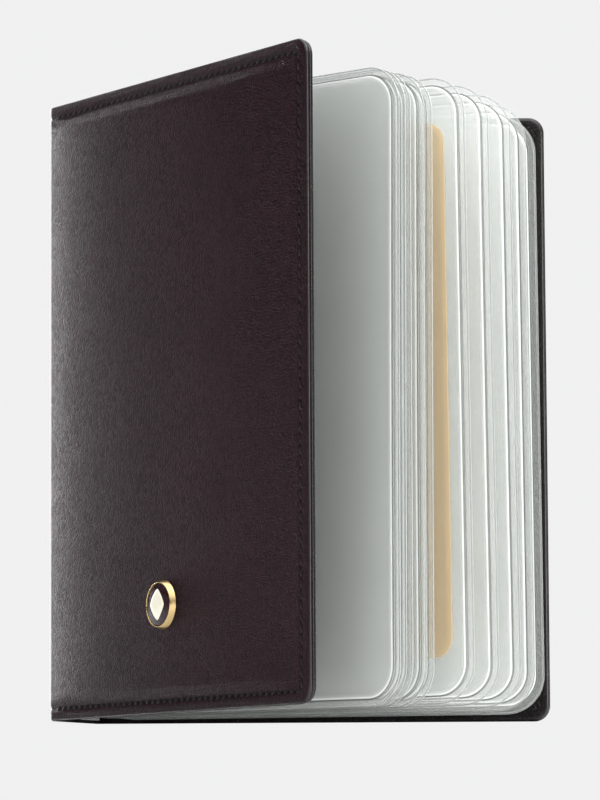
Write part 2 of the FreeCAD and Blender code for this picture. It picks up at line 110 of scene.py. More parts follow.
class Flat:
    """A flat place: s runs along a direction from a point, level stands out from it.

    lean is the slope at which a limp sheet rises (or sags) towards its free edge.
    """

    def __init__(self, start, angle, outward, lean=0.0):
        self.start = Vector((start.x, start.y, 0))
        self.along = level_vector(angle)
        self.out = level_vector(angle + outward * math.pi / 2)
        self.lean = lean

    def __call__(self, s, z, level):
        slip = self.lean * (HEIGHT / 2 - z) * s / LEAF_LENGTH
        point = self.start + self.along * (s + slip) + self.out * level
        return Vector((point.x, point.y, z + self.lean * s))


class Wrap:
    """The outer leather's path: front cover, round the spine, back cover.

    s is 0 at the middle of the spine, negative towards the front cover. Round each
    fold the path is an arc about the fold's axis. Within FOLD_REACH of a fold's middle
    the skin keeps at least FOLD_LEVEL away from the axis.
    """

    FOLD_REACH = 1.5 * MM
    FOLD_LEVEL = 0.08 * MM

    def __init__(self, arc):
        self.half = SPINE_WIDTH / 2
        self.arc = arc
        self.turn = math.pi / 2 - OPENING
        self.middle = (BACK_FOLD + FRONT_FOLD) / 2

    def __call__(self, s, z, level):
        side = 1 if s >= 0 else -1
        fold = BACK_FOLD if side > 0 else FRONT_FOLD
        spine_out = SPINE_ANGLE + math.pi / 2
        beyond = abs(s) - self.half
        if beyond <= 0:
            base, out = self.middle + level_vector(SPINE_ANGLE) * s, spine_out
        elif beyond <= self.arc:
            base, out = fold, spine_out - side * self.turn * beyond / self.arc
        else:
            angle = BACK_ANGLE if side > 0 else FRONT_ANGLE
            base = fold + level_vector(angle) * (beyond - self.arc)
            out = spine_out - side * self.turn
        if abs(beyond - self.arc / 2) / self.FOLD_REACH < 1:
            level = max(level, self.FOLD_LEVEL)
        point = base + level_vector(out) * level
        return Vector((point.x, point.y, z))


# ---- meshes ----

def spread(start, end, step):
    """Evenly spaced values from start to end, about a step apart."""
    count = max(1, round((end - start) / step))
    return [start + (end - start) * i / count for i in range(count + 1)]


def corner_arc(centre, radius, start, steps):
    """Points of a quarter circle, counter-clockwise from a start angle."""
    turns = [start + math.pi / 2 * k / steps for k in range(steps + 1)]
    return [(centre[0] + radius * math.cos(a), centre[1] + radius * math.sin(a)) for a in turns]


class Outline:
    """A rounded rectangle in (s, z), with rings at any inset and a grid inside."""

    STEPS = 6
    LEAST_REACH = 4 * MM
    REACH_GAP = 1 * MM
    LEAST_RADIUS = 0.8 * MM

    def __init__(self, low, high, radius, step, stations=None):
        self.low, self.high, self.radius = low, high, radius
        margin = max(radius, self.LEAST_REACH) + self.REACH_GAP
        near, far = low[0] + margin, high[0] - margin
        self.columns = [s for s in (stations or spread(near, far, step)) if near <= s <= far]
        self.rows = spread(low[1] + margin, high[1] - margin, step)

    def ring(self, inset, deepest):
        """Closed ring of points at an inset; corners tighten towards the deepest one."""
        inner_radius = max(self.radius - deepest, self.LEAST_RADIUS)
        share = inset / deepest if deepest else 0
        radius = self.radius + (inner_radius - self.radius) * share
        left, right = self.low[0] + inset, self.high[0] - inset
        bottom, top = self.low[1] + inset, self.high[1] - inset
        half_turns = (-math.pi / 2, 0, math.pi / 2, math.pi)
        centres = ((right - radius, bottom + radius), (right - radius, top - radius),
                   (left + radius, top - radius), (left + radius, bottom + radius))
        arcs = [corner_arc(c, radius, a, 2 * self.STEPS) for c, a in zip(centres, half_turns)]
        south = [(s, bottom) for s in self.columns]
        east = [(right, z) for z in self.rows]
        north = [(s, top) for s in reversed(self.columns)]
        west = [(left, z) for z in reversed(self.rows)]
        return south + arcs[0] + east + arcs[1] + north + arcs[2] + west + arcs[3]

    def grid(self, ring):
        """Grid of points whose border is the ring, and each border point's index."""
        count, steps = len(ring), self.STEPS
        across = len(self.columns) + 2 * steps + 2
        up = len(self.rows) + 2 * steps + 2
        start = -steps - 1
        south = [(start + i) % count for i in range(across)]
        east = [(south[-1] + i) % count for i in range(up)]
        north = [(east[-1] + i) % count for i in range(across)][::-1]
        west = [(north[0] + i) % count for i in range(up)][::-1]
        points = []
        for j in range(up):
            line = []
            for i in range(across):
                line.append(self.inside(ring, south, east, north, west, i, j))
            points.append(line)
        return points, south, east, north, west

    @staticmethod
    def inside(ring, south, east, north, west, i, j):
        """Point of the Coons patch between the four sides of the ring."""
        low, high = ring[south[0]], ring[north[-1]]
        u = (ring[south[i]][0] - low[0]) / (high[0] - low[0])
        v = (ring[east[j]][1] - low[1]) / (high[1] - low[1])
        value = []
        for k in (0, 1):
            edges = ((1 - v) * ring[south[i]][k] + v * ring[north[i]][k]
                     + (1 - u) * ring[west[j]][k] + u * ring[east[j]][k])
            corners = ((1 - u) * (1 - v) * ring[south[0]][k] + u * (1 - v) * ring[south[-1]][k]
                       + (1 - u) * v * ring[north[0]][k] + u * v * ring[north[-1]][k])
            value.append(edges - corners)
        return tuple(value)


PLAIN = (0.0, 0.0, 0.0)
BURNISHED = (1.0, 0.0, 0.0)
# Mark that paints shade into the stitch groove.
GROOVE_SHADE_MARK = (0.0, 1.0, 0.0)
GROOVE_HALF_WIDTH = 0.11 * MM
NO_GROOVE = -1.0


def make_object(name, points, faces, materials, uvs=None, marks=None):
    """Mesh object with smooth faces, flat coordinates for textures, and edge marks."""
    mesh = bpy.data.meshes.new(name)
    mesh.from_pydata(points, [], faces)
    for material in materials:
        mesh.materials.append(material)
    for polygon in mesh.polygons:
        polygon.use_smooth = True
    if uvs:
        layer = mesh.uv_layers.new(name="flat")
        for loop in mesh.loops:
            layer.data[loop.index].uv = uvs[loop.vertex_index]
    if marks:
        attribute = mesh.attributes.new("mark", "FLOAT_COLOR", "POINT")
        attribute.data.foreach_set("color", [value for mark in marks for value in (*mark, 1.0)])
    piece = bpy.data.objects.new(name, mesh)
    bpy.context.scene.collection.objects.link(piece)
    return piece


def slab_data(outline, rim, place, lift=None, marks=None):
    """Vertices, faces and flat coordinates of a closed slab.

    rim is the section's (inset, level) path from the outer face's grid, round the
    edge, to the inner face's grid. lift(s, z, k) adds to a rim level, k being the
    index in rim.
    """
    deepest = max(inset for inset, _ in rim)
    points, flats, values = [], [], []

    def add(flat, k):
        s, z = flat
        level = rim[k][1] + (lift(s, z, k) if lift else 0.0)
        points.append(place(s, z, level))
        flats.append((s, z))
        values.append(marks[k] if marks else PLAIN)
        return len(points) - 1

    rings = []
    for k, (inset, _) in enumerate(rim):
        rings.append([add(flat, k) for flat in outline.ring(inset, deepest)])
    faces = []
    count = len(rings[0])
    for inner, outer in zip(rings, rings[1:]):
        for i in range(count):
            n = (i + 1) % count
            faces.append((inner[i], outer[i], outer[n], inner[n]))
    for k, flip in ((0, False), (len(rim) - 1, True)):
        flat_ring = outline.ring(rim[k][0], deepest)
        grid, south, east, north, west = outline.grid(flat_ring)
        up, across = len(grid), len(grid[0])
        index = [[None] * across for _ in range(up)]
        for i in range(across):
            index[0][i], index[-1][i] = rings[k][south[i]], rings[k][north[i]]
        for j in range(up):
            index[j][0], index[j][-1] = rings[k][west[j]], rings[k][east[j]]
        for j in range(1, up - 1):
            for i in range(1, across - 1):
                index[j][i] = add(grid[j][i], k)
        for j in range(up - 1):
            for i in range(across - 1):
                quad = (index[j][i], index[j][i + 1], index[j + 1][i + 1], index[j + 1][i])
                faces.append(quad[::-1] if flip else quad)
    return points, faces, flats, values


def edge_marks(rim, width, groove=NO_GROOVE):
    """Marks for a rim: burnished near the edge, and painted shade in the stitch groove."""
    marks = []
    for inset, _ in rim:
        if inset < width:
            marks.append(BURNISHED)
        else:
            marks.append(GROOVE_SHADE_MARK if abs(inset - groove) < GROOVE_HALF_WIDTH else PLAIN)
    return marks


def slab(name, outline, rim, place, material, lift=None, marks=None):
    points, faces, flats, values = slab_data(outline, rim, place, lift, marks)
    piece = make_object(name, points, faces, [material], flats, values)
    fix_normals(piece)
    return piece


def fix_normals(piece):
    """Turn all faces outwards."""
    work = bmesh.new()
    work.from_mesh(piece.data)
    bmesh.ops.recalc_face_normals(work, faces=work.faces)
    work.to_mesh(piece.data)
    work.free()


def round_rim(inset, outer, inner, edge, steps=6):
    """Rim path with a rounded edge between two levels."""
    middle, half = (outer + inner) / 2, (outer - inner) / 2
    path = [(inset, outer)]
    for k in range(steps + 1):
        angle = math.pi * k / steps
        path.append((edge * (1 - math.sin(angle)), middle + half * math.cos(angle)))
    path.append((inset, inner))
    return path


ON_AXIS = 1e-9
LATHE_SEGMENTS = 128


def lathe(name, profile, centre, axis, material):
    """Turn a closed (radius, height) profile about an axis through centre."""
    turn = axis.to_track_quat("Z", "Y").to_matrix()
    points, faces, rings = [], [], []
    for radius, height in profile:
        ring = []
        for i in range(LATHE_SEGMENTS if radius > ON_AXIS else 1):
            angle = 2 * math.pi * i / LATHE_SEGMENTS
            local = Vector((radius * math.cos(angle), radius * math.sin(angle), height))
            points.append(centre + turn @ local)
            ring.append(len(points) - 1)
        rings.append(ring)
    for a, b in zip(rings, rings[1:]):
        for i in range(LATHE_SEGMENTS):
            n = (i + 1) % LATHE_SEGMENTS
            if len(a) == 1 and len(b) > 1:
                faces.append((a[0], b[i], b[n]))
            elif len(b) == 1 and len(a) > 1:
                faces.append((a[i], b[0], a[n]))
            elif len(a) > 1:
                faces.append((a[i], b[i], b[n], a[n]))
    piece = make_object(name, points, faces, [material])
    fix_normals(piece)
    return piece


# ---- materials ----

def new_material(name):
    material = bpy.data.materials.new(name)
    material.use_nodes = True
    nodes = material.node_tree.nodes
    return material, nodes, material.node_tree.links, nodes["Principled BSDF"]


def set_sockets(node, **values):
    for name, value in values.items():
        node.inputs[name.replace("_", " ")].default_value = value


def noise(nodes, links, vector, scale, detail=3.0, roughness=0.5):
    texture = nodes.new("ShaderNodeTexNoise")
    set_sockets(texture, Scale=scale, Detail=detail, Roughness=roughness)
    links.new(vector, texture.inputs["Vector"])
    return texture


def ramp(nodes, links, source, stops):
    """Colour ramp from (position, colour) stops."""
    node = nodes.new("ShaderNodeValToRGB")
    elements = node.color_ramp.elements
    elements[0].position, elements[0].color = stops[0][0], rgba(stops[0][1])
    elements[1].position, elements[1].color = stops[-1][0], rgba(stops[-1][1])
    for position, colour in stops[1:-1]:
        elements.new(position).color = rgba(colour)
    links.new(source, node.inputs["Fac"])
    return node.outputs["Color"]


def rgba(colour):
    """Four-part colour from a grey number or a (red, green, blue) triple."""
    if isinstance(colour, (int, float)):
        return (colour, colour, colour, 1.0)
    return (*colour, 1.0)


def bump(nodes, links, height, strength, distance, normal=None):
    node = nodes.new("ShaderNodeBump")
    set_sockets(node, Strength=strength, Distance=distance)
    links.new(height, node.inputs["Height"])
    if normal:
        links.new(normal, node.inputs["Normal"])
    return node.outputs["Normal"]


def mix_colour(nodes, links, factor, first, second, blend="MIX"):
    """Mix two colours or sockets by a number or socket."""
    node = nodes.new("ShaderNodeMix")
    node.data_type = "RGBA"
    node.blend_type = blend
    for socket, value in ((node.inputs[0], factor), (node.inputs[6], first), (node.inputs[7], second)):
        if isinstance(value, bpy.types.NodeSocket):
            links.new(value, socket)
        elif socket.type == "RGBA":
            socket.default_value = rgba(value)
        else:
            socket.default_value = value
    return node.outputs[2]


def mix_value(nodes, links, first, second, factor):
    """Mix two number sockets by a number or socket."""
    node = nodes.new("ShaderNodeMix")
    if isinstance(factor, bpy.types.NodeSocket):
        links.new(factor, node.inputs[0])
    else:
        node.inputs[0].default_value = factor
    links.new(first, node.inputs[2])
    links.new(second, node.inputs[3])
    return node.outputs[0]


def limited(nodes, links, source, low, high, to_low, to_high):
    """Map a range to another range, held at its ends."""
    node = nodes.new("ShaderNodeMapRange")
    set_sockets(node, From_Min=low, From_Max=high, To_Min=to_low, To_Max=to_high)
    links.new(source, node.inputs["Value"])
    return node.outputs["Result"]


def weighted_sum(nodes, links, source, weight, base):
    """base + weight * source, held between 0 and 1."""
    node = nodes.new("ShaderNodeMath")
    node.operation = "MULTIPLY_ADD"
    node.use_clamp = True
    node.inputs[1].default_value = weight
    links.new(source, node.inputs[0])
    links.new(base, node.inputs[2])
    return node.outputs[0]


def mark_channels(nodes, links):
    """The three channels of a mesh's marks."""
    mark = nodes.new("ShaderNodeAttribute")
    mark.attribute_name = "mark"
    split = nodes.new("ShaderNodeSeparateColor")
    links.new(mark.outputs["Color"], split.inputs["Color"])
    return split.outputs


def flat_coordinates(nodes):
    node = nodes.new("ShaderNodeUVMap")
    node.uv_map = "flat"
    return node.outputs["UV"]


def object_coordinates(nodes):
    return nodes.new("ShaderNodeTexCoord").outputs["Object"]


# Near-black painted shade for the leather in the stitch groove.
GROOVE_SHADE_COLOUR = (0.001, 0.0008, 0.0009)
BURNISHED_COLOUR = (0.006, 0.0035, 0.004)
BURNISHED_COAT = 0.55
COAT_ROUGHNESS = 0.18
LEATHER_SPECULAR = 0.085


def leather_material(name, dark, light, rough, cell, depth, relief, flat=True):
    """Fine pebbled leather: cells, wrinkles between them darkened with painted shade, and cells of random lighter
    tone.
    """
    material, nodes, links, shader = new_material(name)
    vector = flat_coordinates(nodes) if flat else object_coordinates(nodes)
    warp = noise(nodes, links, vector, 0.6 / cell, 2.0)
    bend = nodes.new("ShaderNodeVectorMath")
    bend.operation = "MULTIPLY_ADD"
    bend.inputs[1].default_value = (cell * 0.9,) * 3
    links.new(warp.outputs["Color"], bend.inputs[0])
    links.new(vector, bend.inputs[2])
    cells = nodes.new("ShaderNodeTexVoronoi")
    cells.feature = "DISTANCE_TO_EDGE"
    pebbles = nodes.new("ShaderNodeTexVoronoi")
    for texture in (cells, pebbles):
        set_sockets(texture, Scale=1 / cell, Randomness=1.0)
        links.new(bend.outputs["Vector"], texture.inputs["Vector"])
    creases = ramp(nodes, links, cells.outputs["Distance"], [(0.0, 0.0), (0.12, 0.75), (0.4, 1.0)])
    broad = noise(nodes, links, vector, 90.0, 4.0, 0.6)
    fine = noise(nodes, links, vector, 2.2 / cell, 3.0, 0.6)
    single = nodes.new("ShaderNodeSeparateColor")
    links.new(pebbles.outputs["Color"], single.inputs["Color"])
    blend = mix_value(nodes, links, single.outputs["Red"], broad.outputs["Fac"], 0.5)
    tint = mix_colour(nodes, links, ramp(nodes, links, blend, [(0.25, 0.0), (0.75, 1.0)]), dark, light)
    # Painted shade: the colour is halved in the creases between the cells.
    shade = mix_colour(nodes, links, 0.5, tint, creases, "MULTIPLY")
    edge, groove = mark_channels(nodes, links)[:2]
    # Painted shade: the leather in the stitch groove is darkened almost to black.
    shade = mix_colour(nodes, links, groove, shade, GROOVE_SHADE_COLOUR)
    shade = mix_colour(nodes, links, edge, shade, BURNISHED_COLOUR)
    links.new(shade, shader.inputs["Base Color"])
    gloss = mix_value(nodes, links, single.outputs["Green"], fine.outputs["Fac"], 0.5)
    rough_grain = limited(nodes, links, gloss, 0.25, 0.8, rough - 0.09, rough + 0.12)
    links.new(limited(nodes, links, edge, 0.0, 1.0, 0.0, BURNISHED_COAT), shader.inputs["Coat Weight"])
    set_sockets(shader, Coat_Roughness=COAT_ROUGHNESS)
    links.new(rough_grain, shader.inputs["Roughness"])
    first = bump(nodes, links, creases, relief, depth)
    second = bump(nodes, links, fine.outputs["Fac"], relief * 0.6, depth * 0.7, first)
    links.new(second, shader.inputs["Normal"])
    set_sockets(shader, Specular_IOR_Level=LEATHER_SPECULAR)
    return material


FILM_DARK, FILM_LIGHT = (0.585, 0.61, 0.59), (0.65, 0.667, 0.64)
# Bright colour of the painted highlight beside the welds and on the cut edges.
ROLL_HIGHLIGHT_COLOUR = (0.96, 0.97, 0.95)
# Dark colour of the painted shade lines in the weld groove and along the cut edge.
LINE_SHADE_COLOUR = (0.10, 0.11, 0.105)
CLEAR_DENSITY = (0.10, 0.50)
MILKY_DENSITY = (0.26, 0.83)
ROLL_DENSITY = 0.30
LINE_DENSITY = 0.45
FILM_ROUGHNESS = (0.17, 0.25)


def vinyl_material():
    """Frosted clear film: pale, part see-through, clearer where it is welded.

    The mesh's marks are (dark line of painted shade, painted highlight beside a weld and on the cut edge,
    frosted).
    """
    material, nodes, links, shader = new_material("clear_vinyl")
    vector = flat_coordinates(nodes)
    clouds = noise(nodes, links, vector, 60.0, 3.0)
    frost = noise(nodes, links, vector, 1800.0, 2.0, 0.6)
    drawn_out = nodes.new("ShaderNodeMapping")
    drawn_out.inputs["Scale"].default_value = (700.0, 22.0, 1.0)
    links.new(vector, drawn_out.inputs["Vector"])
    streaks = noise(nodes, links, drawn_out.outputs["Vector"], 1.0, 3.0)
    line, roll_highlight, frosted = mark_channels(nodes, links)[:3]
    tint = mix_colour(nodes, links, clouds.outputs["Fac"], FILM_DARK, FILM_LIGHT)
    # Painted highlight: the film's colour turns bright beside the welds, on the weld band and on the cut edge.
    tint = mix_colour(nodes, links, roll_highlight, tint, ROLL_HIGHLIGHT_COLOUR)
    # Painted shade: dark lines in the weld groove and along the cut edge.
    tint = mix_colour(nodes, links, line, tint, LINE_SHADE_COLOUR)
    links.new(tint, shader.inputs["Base Color"])
    facing = nodes.new("ShaderNodeLayerWeight")
    facing.inputs["Blend"].default_value = 0.35
    clear = limited(nodes, links, facing.outputs["Facing"], 0.0, 1.0, *CLEAR_DENSITY)
    milky = limited(nodes, links, facing.outputs["Facing"], 0.0, 1.0, *MILKY_DENSITY)
    density = mix_value(nodes, links, clear, milky, frosted)
    density = weighted_sum(nodes, links, roll_highlight, ROLL_DENSITY, density)
    density = weighted_sum(nodes, links, line, LINE_DENSITY, density)
    links.new(density, shader.inputs["Alpha"])
    gloss = limited(nodes, links, clouds.outputs["Fac"], 0.3, 0.8, *FILM_ROUGHNESS)
    links.new(gloss, shader.inputs["Roughness"])
    first = bump(nodes, links, frost.outputs["Fac"], 0.03, 0.02 * MM)
    second = bump(nodes, links, streaks.outputs["Fac"], 0.05, 0.04 * MM, first)
    links.new(second, shader.inputs["Normal"])
    set_sockets(shader, Specular_IOR_Level=0.5, IOR=1.5)
    return material


def speckled_material(name, colour, other, rough, scale, metallic=0.0, gloss=0.5, strength=0.1):
    """Plain material with small variation in colour, gloss and relief."""
    material, nodes, links, shader = new_material(name)
    vector = object_coordinates(nodes)
    texture = noise(nodes, links, vector, scale, 4.0, 0.6)
    tint = nodes.new("ShaderNodeMix")
    tint.data_type = "RGBA"
    tint.inputs["A"].default_value = rgba(colour)
    tint.inputs["B"].default_value = rgba(other)
    links.new(texture.outputs["Fac"], tint.inputs["Factor"])
    links.new(tint.outputs["Result"], shader.inputs["Base Color"])
    stops = [(0.3, max(0.02, rough - 0.05)), (0.75, rough + 0.08)]
    links.new(ramp(nodes, links, texture.outputs["Fac"], stops), shader.inputs["Roughness"])
    links.new(bump(nodes, links, texture.outputs["Fac"], strength, 0.03 * MM), shader.inputs["Normal"])
    set_sockets(shader, Metallic=metallic, Specular_IOR_Level=gloss)
    return material


LINING_DARK, LINING_LIGHT = (0.006, 0.005, 0.005), (0.014, 0.0115, 0.011)
OUTER_LEATHER = leather_material("outer_leather", (0.0086, 0.0020, 0.0042), (0.018, 0.0052, 0.0092),
                                 0.42, 0.50 * MM, 0.10 * MM, 0.62)
INNER_LEATHER = leather_material("inner_leather", LINING_DARK, LINING_LIGHT,
                                 0.34, 0.45 * MM, 0.12 * MM, 1.0)
CAD_LEATHER = leather_material("spine_lining_leather", LINING_DARK, LINING_LIGHT,
                               0.36, 0.55 * MM, 0.12 * MM, 0.6, flat=False)
VINYL = vinyl_material()
THREAD = speckled_material("waxed_thread", (0.004, 0.0025, 0.003), (0.010, 0.006, 0.007), 0.42, 5200.0,
                           gloss=0.15, strength=0.4)
BOARD = speckled_material("board", (0.30, 0.25, 0.19), (0.40, 0.34, 0.27), 0.85, 2400.0, strength=0.4)
INSERT_VINYL = speckled_material("insert_vinyl", (0.55, 0.58, 0.56), (0.68, 0.70, 0.68), 0.3, 900.0)
CARD = speckled_material("gold_card", (0.58, 0.35, 0.075), (0.66, 0.42, 0.105), 0.38, 1500.0, strength=0.12)
GILT = speckled_material("gilt", (0.42, 0.295, 0.13), (0.55, 0.405, 0.20), 0.20, 1800.0, metallic=1.0)
ENAMEL = speckled_material("dark_enamel", (0.012, 0.004, 0.006), (0.022, 0.008, 0.011), 0.25, 700.0,
                            gloss=0.2, strength=0.02)
IVORY = speckled_material("ivory_enamel", (0.62, 0.58, 0.48), (0.67, 0.63, 0.52), 0.2, 800.0, strength=0.02)
FIXING = speckled_material("fixing_brass", (0.42, 0.30, 0.12), (0.55, 0.42, 0.18), 0.4, 2000.0, metallic=1.0)


# ---- leather covers and spine ----

FOLD_ARC = 1.2 * MM
FULLNESS = 0.60 * MM
FULL_RISE = 7.5 * MM
FULL_ENDS = 2.4 * MM
SPINE_FULLNESS = 0.30 * MM
FOLD_SIDE = 1.2 * MM
SPINE_STEP, FOLD_STEP, COVER_STEP = 0.9 * MM, 0.15 * MM, 1.4 * MM
END_MARGIN = 5 * MM
COVER_CORNER = 2.6 * MM
LEATHER_STEP = 1.5 * MM
BURNISHED_WIDTH = 0.14 * MM
WRAP = Wrap(FOLD_ARC)
WRAP_END = SPINE_WIDTH / 2 + FOLD_ARC + COVER_WIDTH
FRONT = Flat(FRONT_FOLD, FRONT_ANGLE, -1)
BACK = Flat(BACK_FOLD, BACK_ANGLE, 1)
COVERS = {"front": FRONT, "back": BACK}


def leather_stations():
    """Columns across the case: close together round the folds."""
    half, far = SPINE_WIDTH / 2, WRAP_END - END_MARGIN
    right = spread(0, half - FOLD_SIDE, SPINE_STEP)[:-1]
    right += spread(half - FOLD_SIDE, half + FOLD_ARC + FOLD_SIDE, FOLD_STEP)[:-1]
    right += spread(half + FOLD_ARC + FOLD_SIDE, far, COVER_STEP)
    return [-s for s in reversed(right[1:])] + right


def leather_lift(s, z, k):
    """Soft fullness of the outer face: beside the folds and across the spine."""
    if k > LEATHER_OUTSIDE:
        return 0.0
    beyond = abs(s) - SPINE_WIDTH / 2 - FOLD_ARC
    ends = min(1.0, max(0.0, (min(z, HEIGHT - z) - STITCH_INSET) / FULL_ENDS))
    ends = (1 - math.cos(ends * math.pi)) / 2
    if beyond < 0:
        spine = SPINE_FULLNESS * math.cos(min(1.0, abs(s) / (SPINE_WIDTH / 2)) * math.pi / 2)
        return spine * ends
    rise = 1 - math.exp(-beyond / FULL_RISE)
    return FULLNESS * rise * (1 - (beyond / COVER_WIDTH) ** 2) * ends


def leather_rim():
    """Section of the leather's edge: raised hem, sunk stitch line, turned edge, recess."""
    outside = [(3.8, 0.0), (2.9, 0.02), (2.5, 0.01), (2.25, -0.06), (2.1, -0.13), (2.0, -0.16), (1.9, -0.13),
               (1.75, -0.06), (1.3, 0.0), (0.85, 0.0), (0.5, -0.03)]
    path = [(inset * MM, OUTER + level * MM) for inset, level in outside]
    middle, half = (OUTER + HEM_LEVEL) / 2, (OUTER - HEM_LEVEL) / 2
    for k in range(1, 8):
        angle = math.pi * k / 8
        path.append((0.42 * MM * (1 - math.sin(angle)), middle + half * math.cos(angle)))
    path += [(0.5 * MM, HEM_LEVEL), (2.3 * MM, HEM_LEVEL), (2.4 * MM, BOARD_LEVEL), (3.8 * MM, BOARD_LEVEL)]
    return path, len(outside)


LEATHER_RIM, LEATHER_OUTSIDE = leather_rim()


def make_leather():
    """One skin round the whole case, cut in the middle of the spine."""
    outline = Outline((-WRAP_END, 0), (WRAP_END, HEIGHT), COVER_CORNER, LEATHER_STEP, leather_stations())
    rim_marks = edge_marks(LEATHER_RIM, BURNISHED_WIDTH, STITCH_INSET)
    inner_marks = rim_marks[LEATHER_OUTSIDE:]
    rim_marks[LEATHER_OUTSIDE:] = [mark if mark == BURNISHED else PLAIN for mark in inner_marks]
    points, faces, flats, marks = slab_data(outline, LEATHER_RIM, WRAP, leather_lift, rim_marks)
    for name, side in (("front", -1), ("back", 1)):
        mine = [f for f in faces if side * sum(flats[v][0] for v in f) > 0]
        used = sorted({v for f in mine for v in f})
        number = {v: i for i, v in enumerate(used)}
        piece = make_object(f"leather_{name}", [points[v] for v in used],
                            [tuple(number[v] for v in f) for f in mine], [OUTER_LEATHER],
                            [flats[v] for v in used], [marks[v] for v in used])
        close_cut(piece)
        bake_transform(piece)
        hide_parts(f"{name}_cover_leather")
        if side > 0:
            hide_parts("spine_leather")


def close_cut(piece):
    """Cap the open end where the skin was cut, and turn the faces outwards."""
    work = bmesh.new()
    work.from_mesh(piece.data)
    open_edges = [edge for edge in work.edges if edge.is_boundary]
    bmesh.ops.holes_fill(work, edges=open_edges)
    bmesh.ops.recalc_face_normals(work, faces=work.faces)
    work.to_mesh(piece.data)
    work.free()


LINING_INSET, LINING_CORNER, LINING_EDGE = 0.15 * MM, 2.5 * MM, 0.3 * MM
PANEL_INSET, PANEL_CORNER, PANEL_EDGE = 0.3 * MM, 2.4 * MM, 0.2 * MM
INSIDE_STEP = 2.5 * MM
SEAM_GAP = 0.6 * MM


def make_inside(name):
    """Lining and sewn pocket panel of one cover."""
    place = COVERS[name]
    start, end = (COVER_START, LINING_INSET), (COVER_WIDTH - LINING_INSET, HEIGHT - LINING_INSET)
    lining = Outline(start, end, LINING_CORNER, INSIDE_STEP)
    rim = round_rim(1.5 * MM, HEM_LEVEL, LINING_LEVEL, 0.18 * MM)
    marks = edge_marks(rim, LINING_EDGE)
    piece = slab(f"{name}_lining_leather", lining, rim, place, INNER_LEATHER, marks=marks)
    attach(piece, f"{name}_cover")
    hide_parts(f"{name}_lining")

    start, end = (PANEL_START, PANEL_INSET), (COVER_WIDTH - PANEL_INSET, HEIGHT - PANEL_INSET)
    panel = Outline(start, end, PANEL_CORNER, INSIDE_STEP)
    top = PANEL_LEVEL
    groove = [(3.0, 0.0), (2.0, 0.0), (1.6, 0.04), (1.4, 0.09), (1.2, 0.03), (0.9, -0.03), (0.45, 0.02)]
    rim = [(inset * MM, top + level * MM) for inset, level in groove]
    rim += [(0.15 * MM, top + 0.1 * MM), (0.02 * MM, top + 0.2 * MM), (0.0, top + 0.3 * MM),
            (0.1 * MM, LINING_LEVEL - 0.08 * MM), (0.3 * MM, LINING_LEVEL - 0.02 * MM),
            (2.8 * MM, LINING_LEVEL - 0.02 * MM), (3.0 * MM, top + 0.3 * MM)]
    marks = edge_marks(rim, PANEL_EDGE)
    piece = slab(f"{name}_pocket_panel", panel, rim, place, INNER_LEATHER, marks=marks)
    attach(piece, f"{name}_cover")
    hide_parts(f"{name}_inner_pocket")


def seam_path(inset, near):
    """Points and directions of the stitches round a cover's three free edges."""
    far, low, high = COVER_WIDTH - inset, inset, HEIGHT - inset
    corners = [(near, low), (far, low), (far, high), (near, high)]
    stitches = []
    for (s0, z0), (s1, z1) in zip(corners, corners[1:]):
        length = math.hypot(s1 - s0, z1 - z0)
        count = round(length / STITCH_PITCH)
        for i in range(count):
            share = (i + 0.5) / count
            stitches.append(((s0 + (s1 - s0) * share, z0 + (z1 - z0) * share),
                             ((s1 - s0) / length, (z1 - z0) / length)))
    return stitches


STITCH_LENGTH, STITCH_WIDTH = 1.40 * MM, 0.23 * MM
STITCH_RISE, STITCH_SUNK = 0.14 * MM, 0.20 * MM
STITCH_SLANT, SLANT_VARIATION = 0.45, 0.05
STITCH_RINGS, STITCH_SIDES = 7, 6


def stitch_shape(centre, along, place, level, out, rng):
    """One stitch: a short thread that rises between two holes."""
    slant = STITCH_SLANT + rng.uniform(-SLANT_VARIATION, SLANT_VARIATION)
    du, dv = along[0] - slant * along[1], along[1] + slant * along[0]
    points, faces = [], []
    rings, sides = STITCH_RINGS, STITCH_SIDES
    for r in range(rings):
        t = r / (rings - 1) * 2 - 1
        thick = STITCH_WIDTH * math.sqrt(max(0.02, 1 - t ** 4))
        height = STITCH_RISE * (1 - t * t) - STITCH_SUNK
        for k in range(sides):
            angle = 2 * math.pi * k / sides
            side = thick * math.cos(angle)
            s = centre[0] + du * t * STITCH_LENGTH / 2 - dv * side
            z = centre[1] + dv * t * STITCH_LENGTH / 2 + du * side
            points.append(place(s, z, level + out * (height + thick * 0.7 * math.sin(angle))))
    for r in range(rings - 1):
        for k in range(sides):
            n = (k + 1) % sides
            faces.append((r * sides + k, r * sides + n, (r + 1) * sides + n, (r + 1) * sides + k))
    faces.append(tuple(range(sides)))
    faces.append(tuple((rings - 1) * sides + k for k in reversed(range(sides))))
    return points, faces


def make_stitching(name):
    """Every stitch on the outside and on the inner panel, as one piece of thread."""
    rng = random.Random(7)
    place = COVERS[name]
    points, faces = [], []
    rows = ((OUTER, 1, COVER_START + SEAM_GAP), (PANEL_LEVEL, -1, PANEL_START + SEAM_GAP))
    for level, out, near in rows:
        for centre, along in seam_path(STITCH_INSET, near):
            more, quads = stitch_shape(centre, along, place, level, out, rng)
            faces += [tuple(v + len(points) for v in quad) for quad in quads]
            points += more
    piece = make_object(f"{name}_stitches", points, faces, [THREAD])
    fix_normals(piece)
    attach(piece, f"{name}_cover")
    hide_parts(f"{name}_stitching")


# ---- leaves and card ----

